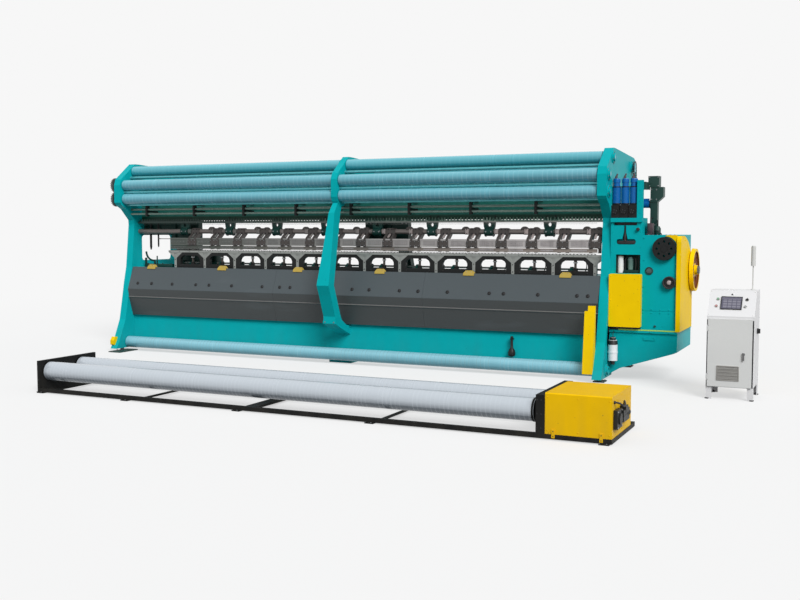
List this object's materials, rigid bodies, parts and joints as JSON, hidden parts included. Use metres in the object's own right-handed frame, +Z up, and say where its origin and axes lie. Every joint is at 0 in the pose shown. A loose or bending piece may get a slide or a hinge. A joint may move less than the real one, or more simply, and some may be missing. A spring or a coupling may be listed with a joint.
{
  "type": "warp knitting machine",
  "caption": "Wide raschel warp knitting machine between two tall end frames, with yarn feed rollers, a free-standing fabric batching stand and a control cabinet.",
  "frame": {"origin": "on the floor under the middle of the machine, in the plane of the front covers' top edge", "axes": "+X along the machine towards its drive end, -Y towards the operator and the batching stand, +Z up"},
  "size_m": [8.258, 4.551, 2.5],
  "materials": {
    "teal_paint": "satin enamel over a slightly rippled casting",
    "dark_green_paint": "satin enamel",
    "grey_cover_paint": "powder coated sheet steel, two greys",
    "yellow_paint": "gloss enamel",
    "feed_roller_steel": "turned, with a fine lay round the roller",
    "gear_steel": "machined and oiled",
    "chain_steel": "oiled roller chain",
    "rod_steel": "ground and polished",
    "black_paint": "satin black",
    "bright_steel": "milled",
    "green_casting_paint": "enamel on a rough casting",
    "arm_aluminium": "machined and greased",
    "take_up_steel": "turned, with a fine lay round the roller",
    "blue_motor_paint": "gloss enamel",
    "black_plastic": "polished",
    "white_plastic": "white bottle with a black cap",
    "batch_roller_steel": "turned, with a fine lay round the roller",
    "cable_rubber": "matt cable sheath",
    "cabinet_paint": "textured powder coat",
    "handle_metal": "cast swing handle",
    "screen_glass": "dark glass in a black bezel",
    "button_green": "polished cap in a bright ring",
    "button_red": "polished cap in a bright ring",
    "button_metal": "polished cap in a bright ring",
    "beacon_plastic": "clear and grey plastic on a metal tube"
  },
  "bodies": {
    "machine": {"left_end_frame": "teal_paint", "right_end_frame": "teal_paint", "centre_post": "teal_paint", "machine_bed": "teal_paint", "upper_beam": "dark_green_paint", "front_covers": "grey_cover_paint", "cover_tabs": "yellow_paint", "levelling_feet": "dark_green_paint", "feed_chain": "chain_steel", "guide_rods": "rod_steel", "rod_brackets": "black_paint", "yarn_comb_rail": "bright_steel", "hanger_brackets": "green_casting_paint", "knock_over_bar": "gear_steel", "arch_brackets": "black_paint", "arch_pillars": "bright_steel", "take_up_guards": "yellow_paint", "side_housing": "teal_paint", "side_cover": "yellow_paint", "let_off_motors": "blue_motor_paint", "motor_gearboxes": "black_paint", "drive_housing": "teal_paint", "drive_bracket": "teal_paint", "belt_cover": "yellow_paint", "shog_unit": "dark_green_paint", "shog_motor": "blue_motor_paint", "lubricator": "white_plastic", "batch_stand": "black_paint", "batch_drive_cover": "yellow_paint", "batch_gearmotor": "black_paint", "batch_motor_lead": "cable_rubber", "cabinet_shell": "cabinet_paint", "operator_screen": "screen_glass", "beacon": "beacon_plastic"},
    "feed_top": {"feed_roller_top": "feed_roller_steel"},
    "feed_mid": {"feed_roller_mid": "feed_roller_steel", "feed_gear_mid": "gear_steel"},
    "feed_low": {"feed_roller_low": "feed_roller_steel", "feed_gear_low": "gear_steel"},
    "feed_rear": {"rear_feed_roller": "feed_roller_steel"},
    "idler": {"chain_sprocket": "gear_steel"},
    "swing_group": {"swing_shaft": "rod_steel", "rocker_arms": "arm_aluminium"},
    "upper_bar": {"guide_bar_upper": "bright_steel"},
    "lower_bar": {"guide_bar_lower": "bright_steel"},
    "needles": {"needle_bar": "bright_steel"},
    "take_up": {"take_up_roller": "take_up_steel"},
    "drive": {"main_shaft": "bright_steel", "flywheel": "yellow_paint"},
    "pattern": {"pattern_disc": "black_paint"},
    "turning_wheel": {"hand_wheel": "black_plastic"},
    "batch_front": {"batch_roller_front": "batch_roller_steel"},
    "batch_back": {"batch_roller_back": "batch_roller_steel"},
    "door": {"cabinet_door": "cabinet_paint"},
    "handle": {"door_handle": "handle_metal"},
    "button_1": {"push_button_1": "button_green"},
    "button_2": {"push_button_2": "button_red"},
    "button_3": {"push_button_3": "button_metal"},
    "selector": {"selector_switch": "black_plastic"},
    "isolator": {"main_switch": "black_plastic"}
  },
  "joints": [
    {"name": "feed_top_spin", "type": "hinge", "parent": "machine", "child": "feed_top", "pos_m": [0, 0.06, 2.398], "axis": [1, 0, 0], "continuous": true},
    {"name": "feed_mid_spin", "type": "hinge", "parent": "machine", "child": "feed_mid", "pos_m": [0, -0.14, 2.208], "axis": [1, 0, 0], "continuous": true},
    {"name": "feed_low_spin", "type": "hinge", "parent": "machine", "child": "feed_low", "pos_m": [0, -0.14, 2.025], "axis": [1, 0, 0], "continuous": true},
    {"name": "feed_rear_spin", "type": "hinge", "parent": "machine", "child": "feed_rear", "pos_m": [0, 0.96, 2.34], "axis": [1, 0, 0], "continuous": true},
    {"name": "idler_spin", "type": "hinge", "parent": "machine", "child": "idler", "pos_m": [3.33, 1, 2.12], "axis": [1, 0, 0], "continuous": true},
    {"name": "guide_swing", "type": "hinge", "parent": "machine", "child": "swing_group", "pos_m": [0, 0.15, 1.597], "axis": [1, 0, 0], "range_deg": [-6, 6]},
    {"name": "upper_shog", "type": "slide", "parent": "swing_group", "child": "upper_bar", "axis": [1, 0, 0], "range_m": [-0.015, 0.015]},
    {"name": "lower_shog", "type": "slide", "parent": "swing_group", "child": "lower_bar", "axis": [1, 0, 0], "range_m": [-0.015, 0.015]},
    {"name": "needle_lift", "type": "slide", "parent": "machine", "child": "needles", "axis": [0, 0, 1], "range_m": [0, 0.016]},
    {"name": "take_up_spin", "type": "hinge", "parent": "machine", "child": "take_up", "pos_m": [0, -0.12, 0.117], "axis": [1, 0, 0], "continuous": true},
    {"name": "main_spin", "type": "hinge", "parent": "machine", "child": "drive", "pos_m": [3.9, 0.65, 1.18], "axis": [1, 0, 0], "continuous": true},
    {"name": "pattern_spin", "type": "hinge", "parent": "machine", "child": "pattern", "pos_m": [3.873, -0.03, 1.423], "axis": [0, 1, 0], "continuous": true},
    {"name": "hand_wheel_spin", "type": "hinge", "parent": "machine", "child": "turning_wheel", "pos_m": [3.928, -0.03, 1.067], "axis": [0, 1, 0], "continuous": true},
    {"name": "batch_front_spin", "type": "hinge", "parent": "machine", "child": "batch_front", "pos_m": [1, -3.16, 0.205], "axis": [1, 0, 0], "continuous": true},
    {"name": "batch_back_spin", "type": "hinge", "parent": "machine", "child": "batch_back", "pos_m": [1, -2.71, 0.203], "axis": [1, 0, 0], "continuous": true},
    {"name": "door_hinge", "type": "hinge", "parent": "machine", "child": "door", "pos_m": [4.438, -0.8093, 0.45], "axis": [0, 0, -1], "range_deg": [0, 110]},
    {"name": "handle_turn", "type": "hinge", "parent": "door", "child": "handle", "pos_m": [4.772, -0.82, 0.445], "axis": [0, 1, 0], "range_deg": [0, 90]},
    {"name": "isolator_turn", "type": "hinge", "parent": "machine", "child": "isolator", "pos_m": [4.87, -0.55, 0.648], "axis": [1, 0, 0], "range_deg": [0, 90]},
    {"name": "button_1_press", "type": "slide", "parent": "machine", "child": "button_1", "axis": [0, 0.7964, -0.6048], "range_m": [0, 0.003], "stiffness_N_per_m": 300, "springref_m": -0.003},
    {"name": "button_2_press", "type": "slide", "parent": "machine", "child": "button_2", "axis": [0, 0.7964, -0.6048], "range_m": [0, 0.003], "stiffness_N_per_m": 300, "springref_m": -0.003},
    {"name": "button_3_press", "type": "slide", "parent": "machine", "child": "button_3", "axis": [0, 0.7964, -0.6048], "range_m": [0, 0.003], "stiffness_N_per_m": 300, "springref_m": -0.003},
    {"name": "selector_turn", "type": "hinge", "parent": "machine", "child": "selector", "pos_m": [4.78, -0.68327, 0.9537], "axis": [0, -0.7964, 0.6048], "range_deg": [-45, 45]}
  ],
  "couplings": [
    {"joint": "feed_low_spin", "follows": "feed_mid_spin", "ratio": -1},
    {"joint": "idler_spin", "follows": "feed_rear_spin", "ratio": 1.55},
    {"joint": "pattern_spin", "follows": "main_spin", "ratio": 0.0625},
    {"joint": "batch_back_spin", "follows": "batch_front_spin", "ratio": 1}
  ]
}
